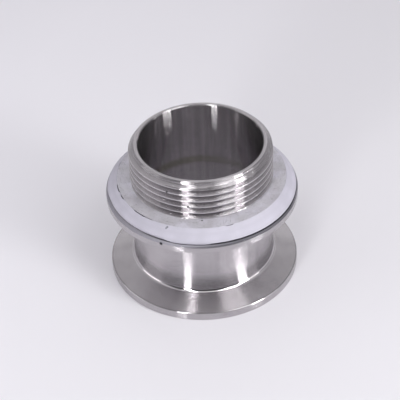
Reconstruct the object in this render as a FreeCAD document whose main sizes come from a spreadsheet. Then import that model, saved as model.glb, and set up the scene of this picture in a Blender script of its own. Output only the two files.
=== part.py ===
import FreeCAD, Part
import math
import os
import Sketcher

# Clamp ferrule to pipe thread adapter: one turned steel body and the soft seal ring on its flange.
# The bore runs along +Z, and the origin is at its centre in the face that the ferrule stands on.
# Lengths are in millimetres and angles in degrees.

drivingSizes = {
    # Clamp ferrule at the foot, with the groove for the clamp gasket in its face
    "ferrule_diameter": 64.0,
    "ferrule_rim": 3.0,
    "ferrule_angle": 20.0,
    "gasket_groove_diameter": 56.5,
    "gasket_groove_width": 4.2,
    "gasket_groove_depth": 1.6,
    "gasket_groove_angle": 50.0,
    # Neck between the ferrule and the flange
    "neck_diameter": 47.8,
    "neck_foot_fillet": 1.3,
    # Flange that carries the seal ring
    "flange_diameter": 64.0,
    "flange_underside": 29.1,
    "flange_thickness": 3.5,
    "flange_chamfer": 0.9,
    # Raised land that centres the seal ring
    "land_diameter": 56.2,
    "land_height": 3.8,
    # Threaded spigot
    "spigot_length": 13.6,
    "thread_diameter": 47.5,
    "thread_pitch": 2.309,
    "thread_angle": 55.0,
    "thread_start": 58.0,
    "lead_chamfer": 1.9,
    # Bore, and the small breaks on its ends and on the ferrule's edges
    "bore_diameter": 41.2,
    "bore_chamfer": 0.3,
    "edge_break": 0.3,
    # Seal ring
    "seal_clearance": 0.1,
    "seal_width": 3.2,
    "seal_lip": 0.3,
    "seal_drop": 0.1,
}

doc = FreeCAD.newDocument("ClampThreadAdapter")
sheet = doc.addObject("Spreadsheet::Sheet", "sizes")
for row, (alias, value) in enumerate(drivingSizes.items(), start=1):
    sheet.set(f"A{row}", alias)
    sheet.set(f"B{row}", str(value))
    sheet.setAlias(f"B{row}", alias)
doc.recompute()

# Radii and heights worked out from the sheet, as expressions that the sketches are bound to
ferruleRadius = "sizes.ferrule_diameter / 2"
neckRadius = "sizes.neck_diameter / 2"
flangeRadius = "sizes.flange_diameter / 2"
landRadius = "sizes.land_diameter / 2"
threadRadius = "sizes.thread_diameter / 2"
boreRadius = "sizes.bore_diameter / 2"
coneTop = f"sizes.ferrule_rim + ({ferruleRadius} - {neckRadius}) * tan(sizes.ferrule_angle * 1 deg)"
flangeTop = "sizes.flange_underside + sizes.flange_thickness"
landTop = f"{flangeTop} + sizes.land_height"
spigotTop = f"{landTop} + sizes.spigot_length"


def originPlane(body, role):
    return next(item for item in body.Origin.OriginFeatures if item.Role == role)


def newBody(name):
    body = doc.addObject("PartDesign::Body", name)
    body.Label = name
    return body


def bindConstraint(sketch, constraint, name, expression):
    index = sketch.addConstraint(constraint)
    sketch.renameConstraint(index, name)
    sketch.setExpression(f"Constraints.{name}", expression)


def pinCorner(sketch, line, across, up):
    # Holds a line's first point at a radius and a height; "0" puts it on the sketch's own axis
    drawn = sketch.getPoint(line, 1)
    for kind, axis, value, size in (("DistanceX", -2, drawn.x, across), ("DistanceY", -1, drawn.y, up)):
        if size == "0":
            sketch.addConstraint(Sketcher.Constraint("PointOnObject", line, 1, axis))
        else:
            distance = Sketcher.Constraint(kind, -1, 1, line, 1, value)
            bindConstraint(sketch, distance, f"{kind}{line}", size)


def roundCorner(sketch, line, name):
    # Rounds the corner that a line starts from, by a radius of the sheet
    sketch.fillet(line, 1, float(sheet.get(name)), True, True)
    arc = next(number for number, item in enumerate(sketch.Geometry) if isinstance(item, Part.ArcOfCircle))
    bindConstraint(sketch, Sketcher.Constraint("Radius", arc, float(sheet.get(name))), name, f"sizes.{name}")


def drawOutline(body, name, corners):
    # A closed outline of straight lines in the XZ plane, with each corner at (radius, height). It starts as
    # a many-sided ring between the bore and the ferrule's edge, and its constraints move it into place.
    sketch = body.newObject("Sketcher::SketchObject", name)
    sketch.AttachmentSupport = (originPlane(body, "XZ_Plane"), [""])
    sketch.MapMode = "FlatFace"
    inner = float(sheet.get("bore_diameter")) / 2
    outer = float(sheet.get("ferrule_diameter")) / 2
    middle = (inner + outer) / 2
    reach = (outer - inner) / 2
    count = len(corners)
    ring = []
    for number in range(count):
        angle = 2 * math.pi * number / count
        across = middle + reach * math.cos(angle)
        up = middle + reach * math.sin(angle)
        ring.append(FreeCAD.Vector(across, up, 0))
    for number in range(count):
        sketch.addGeometry(Part.LineSegment(ring[number], ring[(number + 1) % count]), False)
    for number in range(count):
        sketch.addConstraint(Sketcher.Constraint("Coincident", number, 2, (number + 1) % count, 1))
    for number, (across, up) in enumerate(corners):
        pinCorner(sketch, number, across, up)
    doc.recompute()
    return sketch


def turn(body, kind, name, sketch):
    feature = body.newObject(kind, name)
    feature.Profile = sketch
    feature.ReferenceAxis = (sketch, ["V_Axis"])
    feature.Angle = 360.0
    doc.recompute()
    return feature


def turnSpigot(body):
    # The blank starts more than two pitches below the land, so that the whole thread starts inside the body
    foot = f"{landTop} - 2.25 * sizes.thread_pitch"
    blank = drawOutline(body, "spigot_outline", [
        (boreRadius, foot),
        (threadRadius, foot),
        (threadRadius, f"{spigotTop} - sizes.lead_chamfer"),
        (f"{threadRadius} - sizes.lead_chamfer", spigotTop),
        (f"{boreRadius} + sizes.bore_chamfer", spigotTop),
        (boreRadius, f"{spigotTop} - sizes.bore_chamfer"),
    ])
    turn(body, "PartDesign::Revolution", "spigot_blank", blank)


def cutThread(body):
    # Right-hand groove with flats of a sixth of the pitch on crest and root. Its middle crosses the land at
    # thread_start, counted from +X towards +Y. Its flanks run on past the crest by a quarter of the pitch.
    flat = "sizes.thread_pitch / 6"
    depth = "sizes.thread_pitch / 3 / tan(sizes.thread_angle / 2 * 1 deg)"
    rootRadius = f"{threadRadius} - {depth}"
    clearRadius = f"{threadRadius} + sizes.thread_pitch / 4"
    flankRise = "sizes.thread_pitch / 4 * tan(sizes.thread_angle / 2 * 1 deg)"
    reach = f"sizes.thread_pitch / 2 - {flat} / 2 + {flankRise}"
    middle = f"{landTop} - sizes.thread_pitch * (1 + sizes.thread_start / 360)"
    groove = drawOutline(body, "thread_outline", [
        (rootRadius, f"{middle} - {flat} / 2"),
        (clearRadius, f"{middle} - ({reach})"),
        (clearRadius, f"{middle} + {reach}"),
        (rootRadius, f"{middle} + {flat} / 2"),
    ])
    thread = body.newObject("PartDesign::SubtractiveHelix", "thread")
    thread.Profile = groove
    thread.ReferenceAxis = (groove, ["V_Axis"])
    thread.Mode = 0
    thread.setExpression("Pitch", "sizes.thread_pitch")
    thread.setExpression("Height", "sizes.spigot_length + 2.5 * sizes.thread_pitch")
    thread.Angle = 0
    doc.recompute()


def turnFerruleAndFlange(body):
    # Ferrule, neck, flange and land in one profile, which closes the thread's grooves below the land
    coneFoot = "sizes.ferrule_rim + sizes.edge_break * tan(sizes.ferrule_angle * 1 deg)"
    corners = [
        (boreRadius, "sizes.bore_chamfer"),
        (f"{boreRadius} + sizes.bore_chamfer", "0"),
        (f"{ferruleRadius} - sizes.edge_break", "0"),
        (ferruleRadius, "sizes.edge_break"),
        (ferruleRadius, "sizes.ferrule_rim - sizes.edge_break"),
        (f"{ferruleRadius} - sizes.edge_break", coneFoot),
        (neckRadius, coneTop),
        (neckRadius, "sizes.flange_underside"),
        (flangeRadius, "sizes.flange_underside"),
        (flangeRadius, f"{flangeTop} - sizes.flange_chamfer"),
        (f"{flangeRadius} - sizes.flange_chamfer", flangeTop),
        (landRadius, flangeTop),
        (landRadius, landTop),
        (boreRadius, landTop),
    ]
    outline = drawOutline(body, "turned_outline", corners)
    roundCorner(outline, corners.index((neckRadius, coneTop)), "neck_foot_fillet")
    turn(body, "PartDesign::Revolution", "turned_body", outline)


def cutGasketGroove(body):
    # Groove with sloping sides for the bead of the clamp gasket
    middle = "sizes.gasket_groove_diameter / 2"
    half = "sizes.gasket_groove_width / 2"
    floor = f"{half} - sizes.gasket_groove_depth / tan(sizes.gasket_groove_angle * 1 deg)"
    groove = drawOutline(body, "gasket_groove_outline", [
        (f"{middle} - {half}", "0"),
        (f"{middle} + {half}", "0"),
        (f"{middle} + {floor}", "sizes.gasket_groove_depth"),
        (f"{middle} - ({floor})", "sizes.gasket_groove_depth"),
    ])
    turn(body, "PartDesign::Groove", "gasket_groove", groove)


def makeAdapterBody():
    body = newBody("adapter_body")
    turnSpigot(body)
    cutThread(body)
    turnFerruleAndFlange(body)
    cutGasketGroove(body)
    return body


def makeSealRing():
    # Soft ring of wedge section round the land, modelled on its own seat face and then set on the flange
    body = newBody("seal_ring")
    inner = f"{landRadius} + sizes.seal_clearance"
    outer = f"{inner} + sizes.seal_width"
    wedge = drawOutline(body, "seal_outline", [
        (inner, "0"),
        (outer, "0"),
        (outer, "sizes.seal_lip"),
        (inner, "sizes.land_height - sizes.seal_drop"),
    ])
    turn(body, "PartDesign::Revolution", "seal_wedge", wedge)
    body.setExpression(".Placement.Base.z", flangeTop)
    doc.recompute()
    return body


def checkDocument(nodes):
    for thing in doc.Objects:
        if "Invalid" in thing.State or "Error" in thing.State:
            raise RuntimeError(f"{thing.Label} did not build: {thing.State}")
    for node in nodes:
        if node.Shape.isNull() or not node.Shape.isValid() or len(node.Shape.Solids) != 1:
            raise RuntimeError(f"{node.Label} is not one valid solid")


nodes = [makeAdapterBody(), makeSealRing()]
doc.recompute()
checkDocument(nodes)
os.makedirs("parts", exist_ok=True)
for node in nodes:
    node.Shape.exportStep(f"parts/{node.Label}.step")
    print(f"{node.Label}: {node.Shape.Volume:.1f} cubic mm, {len(node.Shape.Faces)} faces")
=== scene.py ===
import bpy
import bmesh
import math
from mathutils import Matrix, Vector


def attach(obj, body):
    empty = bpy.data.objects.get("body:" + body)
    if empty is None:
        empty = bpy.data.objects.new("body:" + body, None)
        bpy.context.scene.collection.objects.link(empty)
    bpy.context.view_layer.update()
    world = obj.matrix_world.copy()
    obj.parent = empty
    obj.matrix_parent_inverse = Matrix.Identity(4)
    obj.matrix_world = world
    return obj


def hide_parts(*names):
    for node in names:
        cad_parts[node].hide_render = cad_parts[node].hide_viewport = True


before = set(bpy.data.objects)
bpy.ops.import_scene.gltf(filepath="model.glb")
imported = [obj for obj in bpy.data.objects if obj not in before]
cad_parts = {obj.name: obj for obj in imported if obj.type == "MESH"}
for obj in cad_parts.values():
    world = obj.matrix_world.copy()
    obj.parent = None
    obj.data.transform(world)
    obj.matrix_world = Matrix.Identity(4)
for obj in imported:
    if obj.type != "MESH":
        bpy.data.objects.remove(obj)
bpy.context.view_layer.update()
print("frame loaded")

# Clamp ferrule to pipe thread adapter: one turned steel piece, and the soft seal ring on its flange.
# The bore runs along +Z. Sizes are in mm, angles in degrees, and colours are (red, green, blue).
mm = 0.001
tiny = 1e-6            # less than any real gap, in mm
sharpAngle = 38.0      # an edge that turns by more than this stays crisp


def roundedOutline(corners, steps, support, closed=False):
    # Corners are (radius, height, round); each round becomes an arc with a support point at both ends
    points = []
    count = len(corners)
    for number, (r, z, radius) in enumerate(corners):
        here = Vector((r, z))
        if radius <= 0 or (not closed and number in (0, count - 1)):
            points.append(here)
            continue
        before = (Vector(corners[number - 1][:2]) - here).normalized()
        after = (Vector(corners[(number + 1) % count][:2]) - here).normalized()
        half = before.angle(after) / 2
        reach = radius / math.tan(half)
        middle = here + (before + after).normalized() * (radius / math.sin(half))
        first = here + before * reach
        last = here + after * reach
        sweep = (first - middle).angle_signed(last - middle)
        points.append(first + before * support)
        for step in range(steps + 1):
            turn = Matrix.Rotation(-sweep * step / steps, 2)
            points.append(middle + turn @ (first - middle))
        points.append(last + after * support)
    return points


def addPoint(bm, radius, angle, height):
    # Radius and height are in mm, and the angle in radians from +X
    return bm.verts.new((radius * math.cos(angle) * mm, radius * math.sin(angle) * mm, height * mm))


def addFace(bm, points):
    # Points that fall together count once, and a face needs three
    loop = list(dict.fromkeys(points))
    if len(loop) > 2:
        bm.faces.new(loop)


def addBand(bm, first, second):
    # A closed band of faces between two rings of points
    for j in range(len(first)):
        k = (j + 1) % len(first)
        bm.faces.new([first[j], first[k], second[k], second[j]])


def makePiece(name, bm, node, materials):
    bmesh.ops.recalc_face_normals(bm, faces=bm.faces)
    mesh = bpy.data.meshes.new(name)
    bm.to_mesh(mesh)
    bm.free()
    mesh.shade_smooth()
    mesh.set_sharp_from_angle(angle=math.radians(sharpAngle))
    for material in materials:
        mesh.materials.append(material)
    piece = bpy.data.objects.new(name, mesh)
    bpy.context.scene.collection.objects.link(piece)
    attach(piece, "root")
    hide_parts(node)
    print(name, "faces", len(mesh.polygons))


def setInputs(material, node, **inputs):
    # An input may be a value or another node's output. Its name has _ for a space, and _0 is the first input.
    for name, value in inputs.items():
        socket = node.inputs[int(name[1:])] if name[1:].isdigit() else node.inputs[name.replace("_", " ")]
        if isinstance(value, bpy.types.NodeSocket):
            material.node_tree.links.new(value, socket)
        else:
            socket.default_value = value


def addNode(material, kind, settings=None, **inputs):
    node = material.node_tree.nodes.new(kind)
    for name, value in (settings or {}).items():
        setattr(node, name, value)
    setInputs(material, node, **inputs)
    return node


def newMaterial(name):
    material = bpy.data.materials.new(name)
    material.use_nodes = True
    material.node_tree.nodes.clear()
    shader = addNode(material, "ShaderNodeBsdfPrincipled")
    addNode(material, "ShaderNodeOutputMaterial", None, Surface=shader.outputs["BSDF"])
    return material, shader


def addNoise(material, place, noise, flat=False, twist=0.0):
    # Noise as (scale, detail)
    scale, detail = noise
    settings = {"noise_dimensions": "2D"} if flat else {}
    inputs = {"Vector": place, "Scale": scale, "Detail": detail, "Distortion": twist}
    return addNode(material, "ShaderNodeTexNoise", settings, **inputs).outputs["Fac"]


def addRange(material, value, span, first=0.0, last=1.0):
    # Goes from first to last while the value goes from one end of the span to the other
    inputs = {"From_Min": span[0], "From_Max": span[1], "To_Min": first, "To_Max": last}
    return addNode(material, "ShaderNodeMapRange", None, Value=value, **inputs).outputs["Result"]


def addFade(material, value, span, first=0.0, last=1.0):
    # The same, over a span in mm
    return addRange(material, value, (span[0] * mm, span[1] * mm), first, last)


def addMaths(material, kind, first, second=0.0):
    return addNode(material, "ShaderNodeMath", {"operation": kind}, _0=first, _1=second).outputs[0]


def addVector(material, kind, first, second=(0, 0, 0), output="Vector"):
    return addNode(material, "ShaderNodeVectorMath", {"operation": kind}, _0=first, _1=second).outputs[output]


def addMix(material, share, first, second):
    mix = addNode(material, "ShaderNodeMix", {"data_type": "RGBA"}, Factor=share, A=first, B=second)
    return mix.outputs["Result"]


def tone(colour, share=1.0):
    # A colour for a socket, at a share of its brightness
    return tuple(share * c for c in colour) + (1,)


def addPlaces(material):
    # Where a point lies on the piece: its place, the parts of it, its way out from the axis and its radius
    place = addNode(material, "ShaderNodeTexCoord").outputs["Object"]
    sideways, along, height = addNode(material, "ShaderNodeSeparateXYZ", None, _0=place).outputs
    outward = addVector(material, "MULTIPLY", place, (1, 1, 0))
    radius = addVector(material, "LENGTH", outward, output="Value")
    return {"place": place, "sideways": sideways, "along": along, "height": height,
            "outward": outward, "radius": radius}


def addLine(material, value, line):
    # A line as (middle, full within, gone beyond, amount), in mm
    middle, near, far, amount = line
    away = addMaths(material, "ABSOLUTE", addMaths(material, "SUBTRACT", value, middle * mm))
    return addFade(material, away, (near, far), amount, 0.0)


def addMarks(material, place, marks, core=0.4):
    # Dark spots; the core is the share of a spot's size that is fully dark
    total = 0.0
    for angle, radius, height, size in marks:
        a = math.radians(angle)
        spot = (radius * math.sin(a) * mm, -radius * math.cos(a) * mm, height * mm)
        away = addVector(material, "DISTANCE", place, spot, "Value")
        total = addMaths(material, "MAXIMUM", addFade(material, away, (size * core, size), 1.0, 0.0), total)
    return total


# Steel piece
steelSizes = {
    "ferruleRadius": 32.0, "ferruleRim": 3.0, "ferruleAngle": 20.0, "ferruleRound": 0.35,
    "gasketRadius": 28.25, "gasketHalf": 2.1, "gasketFloorHalf": 0.757, "gasketDepth": 1.6,
    "gasketRound": 0.4, "gasketEdgeRound": 0.2,
    "neckRadius": 23.9, "neckFootRound": 1.3, "neckHeadRound": 0.5,
    "flangeRadius": 32.0, "flangeFoot": 29.1, "flangeTop": 32.6, "flangeRound": 1.2, "flangeFootRound": 0.25,
    "landRadius": 28.1, "landTop": 36.4, "landRound": 0.03, "landFootRound": 0.1,
    "spigotTop": 50.0, "leadChamfer": 1.9, "rimRound": 0.12,
    "threadRadius": 23.75, "threadPitch": 2.309, "threadAngle": 55.0, "threadStart": 58.0,
    "crestRound": 0.05, "rootRound": 0.1,
    "boreRadius": 20.6, "boreChamfer": 0.3, "boreRound": 0.08,
    # How finely the mesh is drawn, and where the thread's rows of points end below the spigot's top
    "columns": 272, "arcSteps": 5, "arcSupport": 0.04,
    "threadSteps": 2, "threadSupport": 0.02, "threadSpacing": 0.3, "threadStop": 0.096, "joinWithin": 0.01,
    # How far from its own surface or edge each finish reaches
    "reach": {
        "bore": 0.02, "rim": 0.01, "lead": 0.04, "thread": 0.005, "land": 0.1, "corner": 0.9,
        "cornerDrop": 1.14, "edge": 0.06, "neck": 0.01, "fillet": 1.0, "rounding": 0.4, "under": 0.05,
    },
}


def leadRadiusAt(s, height):
    # Radius of the cone that leads into the thread
    return s["threadRadius"] + (s["spigotTop"] - s["leadChamfer"]) - height


def coneTop(s):
    # Height at which the ferrule's sloping back would meet the neck
    slope = math.tan(math.radians(s["ferruleAngle"]))
    return s["ferruleRim"] + (s["ferruleRadius"] - s["neckRadius"]) * slope


def grooveFoot(s):
    # Height of the groove's middle at +X; one turn and threadStart further round it crosses the land
    return s["landTop"] - s["threadPitch"] * (1 + s["threadStart"] / 360)


def threadForm(s):
    # One pitch of the thread as (height from the groove's middle, radius), with rounded crests and roots
    pitch = s["threadPitch"]
    crest = s["threadRadius"]
    flat = pitch / 12     # half of a flat, which is a sixth of the pitch
    root = crest - pitch / 3 / math.tan(math.radians(s["threadAngle"] / 2))
    corners = [
        (crest, -pitch / 2 - flat, 0),
        (crest, -pitch / 2 + flat, s["crestRound"]),
        (root, -flat, s["rootRound"]),
        (root, flat, s["rootRound"]),
        (crest, pitch / 2 - flat, s["crestRound"]),
        (crest, pitch / 2 + flat, 0),
    ]
    path = roundedOutline(corners, s["threadSteps"], s["threadSupport"])
    dense = []
    for a, b in zip(path, path[1:]):
        parts = max(1, math.ceil((b - a).length / s["threadSpacing"]))
        dense += [a.lerp(b, part / parts) for part in range(parts)]
    return [(p.y, p.x) for p in dense if -pitch / 2 <= p.y < pitch / 2 - tiny]


def threadRadiusAt(form, pitch, height):
    # The thread's radius at a height from a groove's middle, read between the form's points
    height = (height + pitch / 2) % pitch - pitch / 2
    ring = form + [(form[0][0] + pitch, form[0][1])]
    for (za, ra), (zb, rb) in zip(ring, ring[1:]):
        if za <= height <= zb:
            return ra if zb == za else ra + (rb - ra) * (height - za) / (zb - za)
    return ring[0][1]


def addThread(bm, s, form, angles, landRing, topRing):
    # Rows of points that climb by a pitch each turn, and end in the land's ring and the top's
    pitch = s["threadPitch"]
    perPitch = len(form)
    low = s["landTop"] + s["joinWithin"]
    high = s["spigotTop"] - s["threadStop"] - s["joinWithin"]
    turns = math.ceil((s["spigotTop"] - grooveFoot(s)) / pitch) + 2     # one more below and one above
    rows = []
    for number in range(turns * perPitch):
        offset, formRadius = form[number % perPitch]
        step = number // perPitch - 1
        row = []
        for j, angle in enumerate(angles):
            height = grooveFoot(s) + pitch * (step + j / s["columns"]) + offset
            if height <= low:
                row.append(landRing[j])
            elif height >= high:
                row.append(topRing[j])
            else:
                row.append(addPoint(bm, min(formRadius, leadRadiusAt(s, height)), angle, height))
        rows.append(row)
    for number in range(len(rows) - 1):
        lower, upper = rows[number], rows[number + 1]
        for j in range(len(angles) - 1):
            addFace(bm, [lower[j], lower[j + 1], upper[j + 1], upper[j]])
        # The last column meets the first one a turn higher up
        if number + 1 + perPitch < len(rows):
            nextLower, nextUpper = rows[number + perPitch][0], rows[number + 1 + perPitch][0]
            addFace(bm, [lower[-1], nextLower, nextUpper, upper[-1]])


def turnedOutline(s):
    # From the lead cone over the rim, down the bore, along the foot and up the outside to the land
    gasket, half, floorHalf = s["gasketRadius"], s["gasketHalf"], s["gasketFloorHalf"]
    bore, chamfer = s["boreRadius"], s["boreChamfer"]
    threadTop = s["spigotTop"] - s["threadStop"]
    corners = [
        (leadRadiusAt(s, threadTop), threadTop, 0),
        (leadRadiusAt(s, s["spigotTop"]), s["spigotTop"], s["rimRound"]),
        (bore + chamfer, s["spigotTop"], s["boreRound"]),
        (bore, s["spigotTop"] - chamfer, s["boreRound"]),
        (bore, chamfer, s["boreRound"]),
        (bore + chamfer, 0, s["boreRound"]),
        (gasket - half, 0, s["gasketEdgeRound"]),
        (gasket - floorHalf, s["gasketDepth"], s["gasketRound"]),
        (gasket + floorHalf, s["gasketDepth"], s["gasketRound"]),
        (gasket + half, 0, s["gasketEdgeRound"]),
        (s["ferruleRadius"], 0, s["ferruleRound"]),
        (s["ferruleRadius"], s["ferruleRim"], s["ferruleRound"]),
        (s["neckRadius"], coneTop(s), s["neckFootRound"]),
        (s["neckRadius"], s["flangeFoot"], s["neckHeadRound"]),
        (s["flangeRadius"], s["flangeFoot"], s["flangeFootRound"]),
        (s["flangeRadius"], s["flangeTop"], s["flangeRound"]),
        (s["landRadius"], s["flangeTop"], s["landFootRound"]),
        (s["landRadius"], s["landTop"], s["landRound"]),
        (s["threadRadius"], s["landTop"], 0),
    ]
    return roundedOutline(corners, s["arcSteps"], s["arcSupport"])


def finishAt(s, radius, height):
    # The finish of a face, by the place of its middle
    reach = s["reach"]
    if radius < s["boreRadius"] + reach["bore"]:
        return "bore"
    if height > s["spigotTop"] - reach["rim"]:
        return "rim"
    if height > s["spigotTop"] - s["leadChamfer"] and abs(radius - leadRadiusAt(s, height)) < reach["lead"]:
        return "lead"
    if height > s["landTop"] + reach["thread"]:
        return "thread"
    if height > s["landTop"] - reach["land"]:
        return "land"
    if radius > s["flangeRadius"] - reach["corner"] and height > s["flangeTop"] - reach["cornerDrop"]:
        return "corner"
    if radius > s["flangeRadius"] - reach["edge"]:
        return "edge"
    if radius < s["neckRadius"] + reach["neck"]:
        return "neck"
    if radius < s["neckRadius"] + reach["fillet"] and abs(height - coneTop(s)) < reach["fillet"]:
        return "fillet"
    if radius > s["flangeRadius"] - reach["rounding"]:
        return "rounding"
    if abs(height - s["flangeFoot"]) < reach["under"]:
        return "under"
    return "turned"


def buildSteelMesh(s, finishes):
    bm = bmesh.new()
    pitch = s["threadPitch"]
    form = threadForm(s)
    angles = [2 * math.pi * j / s["columns"] for j in range(s["columns"])]
    landRing = []
    for j, angle in enumerate(angles):
        radius = threadRadiusAt(form, pitch, s["landTop"] - grooveFoot(s) - pitch * j / s["columns"])
        landRing.append(addPoint(bm, radius, angle, s["landTop"]))
    threadTop = s["spigotTop"] - s["threadStop"]
    topRing = [addPoint(bm, leadRadiusAt(s, threadTop), angle, threadTop) for angle in angles]
    addThread(bm, s, form, angles, landRing, topRing)
    rings = [topRing]
    for p in turnedOutline(s)[1:-1]:
        rings.append([addPoint(bm, p.x, angle, p.y) for angle in angles])
    rings.append(landRing)
    for upper, lower in zip(rings, rings[1:]):
        addBand(bm, upper, lower)
    for face in bm.faces:
        middle = face.calc_center_median() / mm
        face.material_index = finishes.index(finishAt(s, math.hypot(middle.x, middle.y), middle.z))
    return bm


# Turned steel. Fine grooves run round the axis and lean the light up and down, by each finish's own lean.
# A finish that doesn't give a value takes it from plain. Spans and lines are in mm, and a line is
# (middle, full within, gone beyond, amount). Noise is (scale, detail), and its range is the part that counts.
steelFinish = {
    "plain": {
        "shade": 1.0, "metal": 1.0, "brushed": 1.0, "roughness": 0.13, "spread": 0.02, "lean": 0.0,
        "fine": 0.1, "broad": 0.02, "nick": 0.05,
    },
    "finishes": {
        "turned": {"shade": 0.93, "roughness": 0.17, "spread": 0.03, "lean": 0.3},
        "bore": {"shade": 1.07, "metal": 0.955, "roughness": 0.06, "lean": 0.42, "fine": 0.03,
                 "broad": 0.0, "nick": 0.0},
        "thread": {"shade": 0.95, "roughness": 0.1, "lean": 0.44, "broad": 0.03, "nick": 0.4},
        "land": {"brushed": 0.0, "roughness": 0.9, "spread": 0.04, "nick": 0.2},
        "corner": {"brushed": 0.0, "roughness": 0.7, "spread": 0.05, "fine": 0.2, "broad": 0.1, "nick": 0.2},
        "edge": {"shade": 0.92, "spread": 0.04, "lean": 0.4, "broad": 0.03, "nick": 0.2},
        "neck": {"shade": 1.06, "lean": 0.38, "fine": 0.05, "broad": 0.0},
        "fillet": {"shade": 1.1, "roughness": 0.07, "spread": 0.01, "lean": 0.03, "fine": 0.05, "broad": 0.0},
        "rim": {"shade": 1.03, "roughness": 0.25, "spread": 0.05, "lean": 0.1, "broad": 0.1, "nick": 0.4},
        "rounding": {"shade": 0.9, "roughness": 0.06, "spread": 0.01, "lean": 0.02, "fine": 0.05,
                     "broad": 0.0, "nick": 0.2},
        "under": {"shade": 1.1, "roughness": 0.25, "spread": 0.04, "lean": 0.1, "broad": 0.05, "nick": 0.1},
        "lead": {"shade": 0.72, "roughness": 0.14, "spread": 0.04, "lean": 0.72, "fine": 0.5,
                 "broad": 0.4, "nick": 0.3},
    },
    # The dark colour is for real marks and scratches and for the painted shade lines; the light line colour
    # is a painted highlight
    "colour": (0.588, 0.563, 0.582), "darkColour": (0.03, 0.03, 0.035), "paintedHighlight": (0.97, 0.94, 0.96),
    "fineNoise": (4000.0, 2.0), "fineDepth": 0.03, "broadNoise": (1500.0, 1.0), "broadDepth": 0.3,
    "nickNoise": (900.0, 1.0), "nickRange": (0.7, 0.76), "nickDepth": 0.1,
    "roughRange": (0.3, 0.7), "brushTurn": 0.25, "grooveScale": 1e6,
    # Clouds of stain
    "stain": (0.45, 0.426, 0.44), "cloudNoise": (150.0, 4.0), "stainRange": (0.35, 0.7), "stainAmount": 0.5,
    # Thread: painted shade in the roots and a painted highlight on the crests, by the depth below the crests
    "rootShade": 0.78, "rootSpan": (0.1, 0.9), "crestHighlightAmount": 0.22, "crestSpan": (0.05, 0.15),
    # Land: blotches and scratches
    "landColour": (0.82, 0.808, 0.86),
    "blotch": (0.73, 0.722, 0.75), "blotchAmount": 0.55,
    "blotchNoise": (200.0, 3.0), "blotchRange": (0.42, 0.62),
    "scratchNoise": (90.0, 2.0), "scratchTwist": 6.0, "scratchWidth": 0.012, "scratchAmount": 0.3,
    # Top corner of the flange: painted light on the left and painted shade on the right,
    # and a painted shadow in the gap where the ring's foot lifts off
    "cornerPaintedLight": (0.36, 0.35, 0.388), "cornerPaintedShade": (0.145, 0.14, 0.158),
    "cornerSpan": (-5.0, 12.0), "cornerBackSpan": (-14.0, -6.0),
    "gapSpan": (-22.0, -8.0), "gapRadius": (31.15, 31.6), "gapWidth": 0.1, "gapShadowAmount": 0.85,
    # Faint lines drawn along the bore and the neck
    "drawnNoise": (14.0, 5.0), "drawnRange": (0.4, 0.62), "drawnShade": 0.84, "neckDrawn": 0.1,
    # Bore: a painted band of shade that fades towards the right
    "bandShadeColour": (0.37, 0.355, 0.29), "band": (27.2, 0.7, 2.2, 0.75),
    "bandSpan": (-4.0, 14.0), "bandRight": 0.35,
    # Neck: painted shade at its foot and head
    "neckFoot": (9.0, 1.0, 4.5, 0.36), "headShadeSpan": (21.0, 25.0), "headShadeAmount": 0.16,
    # Fillet: a painted shade line and a painted highlight line, which fade towards the back
    "filletShadeLine": (6.52, 0.15, 0.45, 0.62), "filletDarkSpan": (-21.0, -17.0),
    "filletHighlight": (5.98, 0.12, 0.35, 0.75), "filletLightSpan": (-22.0, -12.0), "filletLightBack": 0.3,
    # Painted shade line on the flange's edge, which fades towards both sides, and one where the ferrule's
    # back ends
    "edgeShadeLine": (31.5, 0.2, 0.55, 0.5), "edgeMiddle": (3.0, 4.0, 13.0, 1.0),
    "edgeFinishes": ("corner", "edge"),
    "coneShadeLine": (31.68, 0.05, 0.14, 0.34), "coneFinishes": ("turned", "rounding"),
    # Dark marks as (angle from the front to the right, radius, height, size)
    "marks": (
        (-25.3, 31.9, 31.3, 0.75), (-11.4, 23.6, 41.2, 0.6), (-28.2, 23.6, 45.7, 0.5),
        (-30.9, 22.6, 49.3, 0.35), (-0.9, 24.3, 36.4, 0.4),
    ),
    "markedFinishes": ("thread", "land", "corner", "edge", "rounding"),
}


def stainedTint(material, v, at, shade, colour="colour"):
    # What a finish has when it has no tint of its own
    stain = addRange(material, at["cloud"], v["stainRange"], 0.0, v["stainAmount"])
    return addMix(material, stain, tone(v[colour], shade), tone(v["stain"], shade))


def drawnLines(material, v, at, first, last):
    # The same from foot to top, as it takes only the way out from the axis
    drawn = addNoise(material, addVector(material, "NORMALIZE", at["outward"]), v["drawnNoise"])
    return addRange(material, drawn, v["drawnRange"], first, last)


def threadTint(material, v, at, shade):
    # The depth below the crests, or below the lead cone where that is lower
    s = steelSizes
    cone = addMaths(material, "SUBTRACT", leadRadiusAt(s, 0.0) * mm, at["height"])
    crest = addMaths(material, "MINIMUM", cone, s["threadRadius"] * mm)
    depth = addMaths(material, "SUBTRACT", crest, at["radius"])
    # Painted shade deep in the roots, and a painted highlight on the crests
    deep = addFade(material, depth, v["rootSpan"])
    tint = stainedTint(material, v, at, shade)
    tint = addMix(material, deep, tint, tone(v["colour"], shade * v["rootShade"]))
    light = addFade(material, depth, v["crestSpan"], v["crestHighlightAmount"], 0.0)
    return addMix(material, light, tint, tone(v["paintedHighlight"]))


def landTint(material, v, at, shade):
    tint = stainedTint(material, v, at, shade, "landColour")
    blotch = addNoise(material, at["place"], v["blotchNoise"])
    blotch = addRange(material, blotch, v["blotchRange"], 0.0, v["blotchAmount"])
    tint = addMix(material, blotch, tint, tone(v["blotch"]))
    scratch = addNoise(material, at["place"], v["scratchNoise"], twist=v["scratchTwist"])
    # A scratch lies where the noise crosses its middle
    scratch = addMaths(material, "ABSOLUTE", addMaths(material, "SUBTRACT", scratch, 0.5))
    scratch = addRange(material, scratch, (0.0, v["scratchWidth"]), v["scratchAmount"], 0.0)
    return addMix(material, scratch, tint, tone(v["darkColour"]))


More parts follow.
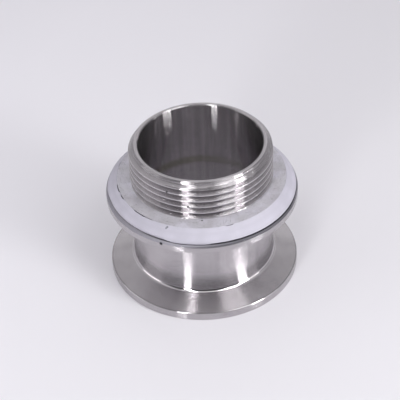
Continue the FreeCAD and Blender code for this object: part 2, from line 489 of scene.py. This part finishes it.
def cornerTint(material, v, at, shade):
    # Painted light on the left, painted shade on the right, and painted light again towards the back
    light, dark = tone(v["cornerPaintedLight"], shade), tone(v["cornerPaintedShade"], shade)
    tint = addMix(material, addFade(material, at["sideways"], v["cornerSpan"]), light, dark)
    tint = addMix(material, addFade(material, at["along"], v["cornerBackSpan"]), tint, light)
    # A painted shadow beside the ring's foot, whose radius grows from left to right
    left, right = v["gapRadius"]
    edge = addFade(material, at["sideways"], v["gapSpan"], left * mm, right * mm)
    past = addMaths(material, "SUBTRACT", at["radius"], edge)
    gap = addFade(material, past, (0.0, v["gapWidth"]), v["gapShadowAmount"], 0.0)
    return addMix(material, gap, tint, tone(v["darkColour"]))


def boreTint(material, v, at, shade):
    drawn = drawnLines(material, v, at, 0.0, 1.0)
    tint = addMix(material, drawn, tone(v["colour"], shade * v["drawnShade"]), tone(v["colour"], shade))
    # A painted band of shade that fades towards the right
    left = addFade(material, at["sideways"], v["bandSpan"], 1.0, v["bandRight"])
    band = addMaths(material, "MULTIPLY", addLine(material, at["height"], v["band"]), left)
    return addMix(material, band, tint, tone(v["bandShadeColour"]))


def neckTint(material, v, at, shade):
    drawn = drawnLines(material, v, at, v["neckDrawn"], 0.0)
    # Painted shade at the foot and head, over the faint drawn lines
    foot = addLine(material, at["height"], v["neckFoot"])
    head = addFade(material, at["height"], v["headShadeSpan"], 0.0, v["headShadeAmount"])
    dark = addMaths(material, "MAXIMUM", addMaths(material, "MAXIMUM", drawn, foot), head)
    return addMix(material, dark, stainedTint(material, v, at, shade), tone(v["darkColour"]))


def filletTint(material, v, at, shade):
    # A painted shade line at the front, and a painted highlight line that fades towards the back
    front = addFade(material, at["along"], v["filletDarkSpan"], 1.0, 0.0)
    dark = addMaths(material, "MULTIPLY", addLine(material, at["height"], v["filletShadeLine"]), front)
    tint = addMix(material, dark, stainedTint(material, v, at, shade), tone(v["darkColour"]))
    front = addFade(material, at["along"], v["filletLightSpan"], 1.0, v["filletLightBack"])
    light = addMaths(material, "MULTIPLY", addLine(material, at["height"], v["filletHighlight"]), front)
    return addMix(material, light, tint, tone(v["paintedHighlight"]))


ownTints = {
    "bore": boreTint, "thread": threadTint, "land": landTint, "corner": cornerTint, "neck": neckTint,
    "fillet": filletTint,
}


def steelTint(material, name, v, at, shade):
    # The finish's own tint, then the painted shade lines and the dark marks that lie over it
    tint = ownTints.get(name, stainedTint)(material, v, at, shade)
    if name in v["edgeFinishes"]:
        middle = addLine(material, at["sideways"], v["edgeMiddle"])
        dark = addMaths(material, "MULTIPLY", addLine(material, at["height"], v["edgeShadeLine"]), middle)
        tint = addMix(material, dark, tint, tone(v["darkColour"]))
    if name in v["coneFinishes"]:
        tint = addMix(material, addLine(material, at["radius"], v["coneShadeLine"]), tint, tone(v["darkColour"]))
    if name in v["markedFinishes"]:
        tint = addMix(material, addMarks(material, at["place"], v["marks"]), tint, tone(v["darkColour"]))
    return tint


def groovedNormal(material, v, at, tangent, lean):
    # Each groove leans the face up or down by a chance step of its own, and never sideways
    plain = addNode(material, "ShaderNodeNewGeometry").outputs["Normal"]
    upward = addVector(material, "CROSS_PRODUCT", plain, tangent)
    groove = addVector(material, "MULTIPLY", at["lathe"], (v["grooveScale"],) * 3)
    chance = addNode(material, "ShaderNodeTexWhiteNoise", {"noise_dimensions": "2D"}, Vector=groove)
    step = addVector(material, "SUBTRACT", chance.outputs["Color"], (0.5, 0.5, 0.5))
    step = addVector(material, "DOT_PRODUCT", step, (lean,) * 3, "Value")
    leaned = addNode(material, "ShaderNodeVectorMath", {"operation": "SCALE"}, _0=upward, Scale=step)
    return addVector(material, "NORMALIZE", addVector(material, "ADD", plain, leaned.outputs[0]))


def turnedSteel(name, v):
    material, shader = newMaterial(name + "Steel")
    look = {**v["plain"], **v["finishes"][name]}
    at = addPlaces(material)
    at["cloud"] = addNoise(material, at["place"], v["cloudNoise"])
    # A place on the lathe is the same all the way round
    at["lathe"] = addNode(material, "ShaderNodeCombineXYZ", None, X=at["radius"], Y=at["height"]).outputs[0]
    fine = addNoise(material, at["lathe"], v["fineNoise"], flat=True)
    broad = addNoise(material, at["lathe"], v["broadNoise"], flat=True)
    nicks = addRange(material, addNoise(material, at["place"], v["nickNoise"]), v["nickRange"])
    rough, spread = look["roughness"], look["spread"]
    lineRough = addRange(material, fine, v["roughRange"], rough - spread, rough + spread)
    cloudRough = addRange(material, at["cloud"], v["roughRange"], -spread / 2, spread / 2)
    tangent = addNode(material, "ShaderNodeTangent", {"direction_type": "RADIAL", "axis": "Z"}).outputs[0]
    normal = groovedNormal(material, v, at, tangent, look["lean"])
    for relief, height in (("fine", fine), ("broad", broad), ("nick", nicks)):
        inputs = {"Strength": look[relief], "Distance": v[relief + "Depth"] * mm, "Height": height}
        normal = addNode(material, "ShaderNodeBump", None, Normal=normal, **inputs).outputs["Normal"]
    setInputs(material, shader, Metallic=look["metal"], Anisotropic=look["brushed"])
    setInputs(material, shader, Anisotropic_Rotation=v["brushTurn"], Tangent=tangent, Normal=normal)
    setInputs(material, shader, Roughness=addMaths(material, "ADD", lineRough, cloudRough))
    setInputs(material, shader, Base_Color=steelTint(material, name, v, at, look["shade"]))
    return material


steelNames = list(steelFinish["finishes"])
steels = [turnedSteel(name, steelFinish) for name in steelNames]
makePiece("adapterSteel", buildSteelMesh(steelSizes, steelNames), "adapter_body", steels)
print("steel made")

# Seal ring. Trims change its edge round the ring, as (angle from the front to the right, width, change).
sealSizes = {
    "innerRadius": 28.12, "outerRadius": 31.42, "foot": 32.6, "lip": 0.3, "top": 36.37,
    "innerFootRound": 0.05, "innerRound": 0.03, "outerRound": 0.08,
    "lift": 0.08, "liftWidth": 0.5, "liftRound": 0.03,
    "columns": 720, "arcSteps": 6, "arcSupport": 0.04,
    "outerTrims": ((-52, 34, -0.42), (-9, 16, 0.25)),
    "innerTrims": (
        (-105, 4, 0.24), (-78, 5, 0.2), (-68, 3, 0.18), (-47, 6, 0.17), (-39, 5, 0.1), (17, 3, 0.12),
    ),
}


def trimAt(trims, angle):
    # Each trim fades in and out over the outer third of its width
    change = 0.0
    for middle, width, size in trims:
        away = abs((angle - middle + 180) % 360 - 180)
        change += size * min(1.0, max(0.0, (width - away) / (width / 3)))
    return change


def buildSealMesh(s):
    bm = bmesh.new()
    slope = (s["top"] - s["foot"] - s["lip"]) / (s["outerRadius"] - s["innerRadius"])
    loops = []
    for j in range(s["columns"]):
        a = 2 * math.pi * j / s["columns"]
        angle = math.degrees(a) + 90     # columns count from +X, and trims from the front
        inner = s["innerRadius"] + trimAt(s["innerTrims"], angle)
        outer = s["outerRadius"] + trimAt(s["outerTrims"], angle)
        lip = s["lip"] + (s["outerRadius"] - outer) * slope
        corners = [
            (inner, s["foot"], s["innerFootRound"]),
            (outer - s["liftWidth"], s["foot"], s["liftRound"]),
            (outer, s["foot"] + s["lift"], s["liftRound"]),
            (outer, s["foot"] + lip, s["outerRound"]),
            (inner, s["top"] - (inner - s["innerRadius"]) * slope, s["innerRound"]),
        ]
        path = roundedOutline(corners, s["arcSteps"], s["arcSupport"], closed=True)
        loops.append([addPoint(bm, p.x, a, p.y) for p in path])
    for j in range(s["columns"]):
        addBand(bm, loops[j], loops[(j + 1) % s["columns"]])
    return bm


# Matt white rubber with a fine grain, faint clouds, faint rings left by the mould and a dark speck
rubberFinish = {
    "colour": (0.495, 0.479, 0.552), "roughness": 0.6, "noiseRange": (0.35, 0.65),
    "cloudNoise": (180.0, 2.0), "cloudShade": 0.9,
    "ringNoise": (1100.0, 2.0), "ringAmount": 0.6, "ringShade": 0.88,
    "grainNoise": (1500.0, 2.0), "grainAmount": 0.1, "grainDepth": 0.1,
    "marks": ((-23.6, 28.6, 35.8, 0.5), (-24.2, 28.9, 35.5, 0.4)), "darkColour": (0.16, 0.16, 0.19),
}


def whiteRubber(v):
    material, shader = newMaterial("whiteRubber")
    at = addPlaces(material)
    cloud = addRange(material, addNoise(material, at["place"], v["cloudNoise"]), v["noiseRange"])
    tint = addMix(material, cloud, tone(v["colour"], v["cloudShade"]), tone(v["colour"]))
    lathe = addNode(material, "ShaderNodeCombineXYZ", None, X=at["radius"]).outputs[0]
    rings = addNoise(material, lathe, v["ringNoise"], flat=True)
    rings = addRange(material, rings, v["noiseRange"], v["ringAmount"], 0.0)
    tint = addMix(material, rings, tint, tone(v["colour"], v["ringShade"]))
    tint = addMix(material, addMarks(material, at["place"], v["marks"]), tint, tone(v["darkColour"]))
    inputs = {"Strength": v["grainAmount"], "Distance": v["grainDepth"] * mm}
    grain = addNoise(material, at["place"], v["grainNoise"])
    bump = addNode(material, "ShaderNodeBump", None, Height=grain, **inputs)
    setInputs(material, shader, Base_Color=tint, Roughness=v["roughness"], Normal=bump.outputs["Normal"])
    return material


makePiece("sealRing", buildSealMesh(sealSizes), "seal_ring", [whiteRubber(rubberFinish)])
print("seal ring made")

# Camera, with the focal length for a 400 pixel frame
cameraView = {
    "place": (0.0, -364.7, 317.1), "pan": 0.13, "tilt": 38.66, "roll": -2.18,
    "focalPixels": 1387.0, "framePixels": 400, "sensorWidth": 36.0, "nearest": 10.0,
}


def makeCamera(v):
    pan, tilt, roll = (math.radians(v[name]) for name in ("pan", "tilt", "roll"))
    turn = Matrix.Rotation(pan, 3, "Z")
    ahead = turn @ Vector((0, math.cos(tilt), -math.sin(tilt)))
    right = turn @ Vector((1, 0, 0))
    up = turn @ Vector((0, math.sin(tilt), math.cos(tilt)))
    across = math.cos(roll) * right + math.sin(roll) * up
    upright = -math.sin(roll) * right + math.cos(roll) * up
    lens = bpy.data.cameras.new("photoView")
    lens.sensor_width = v["sensorWidth"]
    lens.lens = v["focalPixels"] / v["framePixels"] * v["sensorWidth"]
    lens.clip_start = v["nearest"] * mm
    camera = bpy.data.objects.new("photoView", lens)
    pose = Matrix((across, upright, -ahead)).transposed().to_4x4()
    pose.translation = Vector(v["place"]) * mm
    camera.matrix_world = pose
    bpy.context.scene.collection.objects.link(camera)
    bpy.context.scene.camera = camera


makeCamera(cameraView)
print("camera placed")

# Studio. A lamp is its name, its angle from the camera's side to the right, its height angle, its distance,
# size and power, in metres and watts. The room glows at a level of its own on each side, at the back, on the
# roof, straight above, low down, and in the darker front behind the camera, and the reaches say where these
# blend. The floor's colour gets paler along its slope, towards the back on the left, as painted light.
studio = {
    "floorColour": (0.80, 0.787, 0.826), "floorPaintedLight": (0.895, 0.88, 0.93), "floorRoughness": 0.9,
    "floorSlope": (-7.5, 4.5, 0.0), "slopeReach": (-0.3, 1.1), "floorHalf": 1.2,
    "lamps": [
        ("leftLow", -26.0, 9.0, 0.7, (0.12, 0.22), 1.8),
        ("leftHigh", -24.5, 45.0, 0.7, (0.08, 0.6), 0.85),
        ("rightLow", 57.0, 9.0, 0.7, (0.18, 0.22), 2.7),
        ("rightHigh", 46.0, 46.0, 0.7, (0.28, 0.5), 1.3),
        ("frontTop", 0.0, 64.0, 1.0, (0.9, 0.2), 0.7),
        ("leftSide", -85.0, 15.0, 1.0, (0.6, 0.2), 0.8),
        ("rightSide", 76.0, 11.0, 1.0, (0.3, 0.2), 0.4),
        ("backLow", 180.0, 12.0, 1.2, (1.6, 0.5), 0.8),
    ],
    "lampTarget": (0.0, 0.0, 0.025),
    "glow": {"left": 0.54, "right": 0.41, "back": 0.66, "roof": 0.56, "top": 0.8, "low": 0.35, "front": 0.1},
    "glowTint": (1.0, 0.985, 1.02),
    "sideReach": (-0.3, 0.3), "backReach": (0.3, 0.8),
    "roofReach": (38.0, 50.0), "topReach": (62.0, 75.0), "lowReach": (26.0, 8.0),     # height angles
    "frontHeight": 15.0, "frontReach": (66.0, 50.0),     # angles from the middle of the darker front
}


def makeLamp(target, name, angle, height, distance, size, power):
    data = bpy.data.lights.new(name, "AREA")
    data.shape = "RECTANGLE"
    data.size, data.size_y = size
    data.energy = power
    lamp = bpy.data.objects.new(name, data)
    a, h = math.radians(angle), math.radians(height)
    way = Vector((math.sin(a) * math.cos(h), -math.cos(a) * math.cos(h), math.sin(h)))
    lamp.location = Vector(target) + way * distance
    lamp.rotation_euler = (-way).to_track_quat("-Z", "Y").to_euler()
    lamp.visible_camera = False
    bpy.context.scene.collection.objects.link(lamp)


def makeFloor(v):
    half = v["floorHalf"]
    corners = [(-half, -half, 0), (half, -half, 0), (half, half, 0), (-half, half, 0)]
    mesh = bpy.data.meshes.new("floor")
    mesh.from_pydata(corners, [], [(0, 1, 2, 3)])
    material, shader = newMaterial("floorPaper")
    place = addNode(material, "ShaderNodeTexCoord").outputs["Object"]
    slope = addVector(material, "DOT_PRODUCT", place, v["floorSlope"], "Value")
    # Painted light: the floor's colour gets paler along this slope
    back = addRange(material, slope, v["slopeReach"])
    tint = addMix(material, back, tone(v["floorColour"]), tone(v["floorPaintedLight"]))
    setInputs(material, shader, Base_Color=tint, Roughness=v["floorRoughness"])
    mesh.materials.append(material)
    floor = bpy.data.objects.new("floor", mesh)
    bpy.context.scene.collection.objects.link(floor)


def makeWorld(v):
    world = bpy.data.worlds.new("studioRoom")
    bpy.context.scene.world = world
    world.use_nodes = True
    world.node_tree.nodes.clear()
    glow = {part: tone(v["glowTint"], level) for part, level in v["glow"].items()}
    way = addNode(world, "ShaderNodeTexCoord").outputs["Generated"]
    across, along, up = addNode(world, "ShaderNodeSeparateXYZ", None, _0=way).outputs
    tint = addMix(world, addRange(world, across, v["sideReach"]), glow["left"], glow["right"])
    tint = addMix(world, addRange(world, along, v["backReach"]), tint, glow["back"])
    for part in ("roof", "top", "low"):
        reach = [math.sin(math.radians(angle)) for angle in v[part + "Reach"]]
        tint = addMix(world, addRange(world, up, reach), tint, glow[part])
    h = math.radians(v["frontHeight"])
    ahead = addVector(world, "DOT_PRODUCT", way, (0, -math.cos(h), math.sin(h)), "Value")
    reach = [math.cos(math.radians(angle)) for angle in v["frontReach"]]
    tint = addMix(world, addRange(world, ahead, reach), tint, glow["front"])
    light = addNode(world, "ShaderNodeBackground", None, Color=tint).outputs[0]
    addNode(world, "ShaderNodeOutputWorld", None, Surface=light)


makeFloor(studio)
makeWorld(studio)
for lampValues in studio["lamps"]:
    makeLamp(studio["lampTarget"], *lampValues)
bpy.context.scene.view_settings.view_transform = "Standard"
print("studio made")
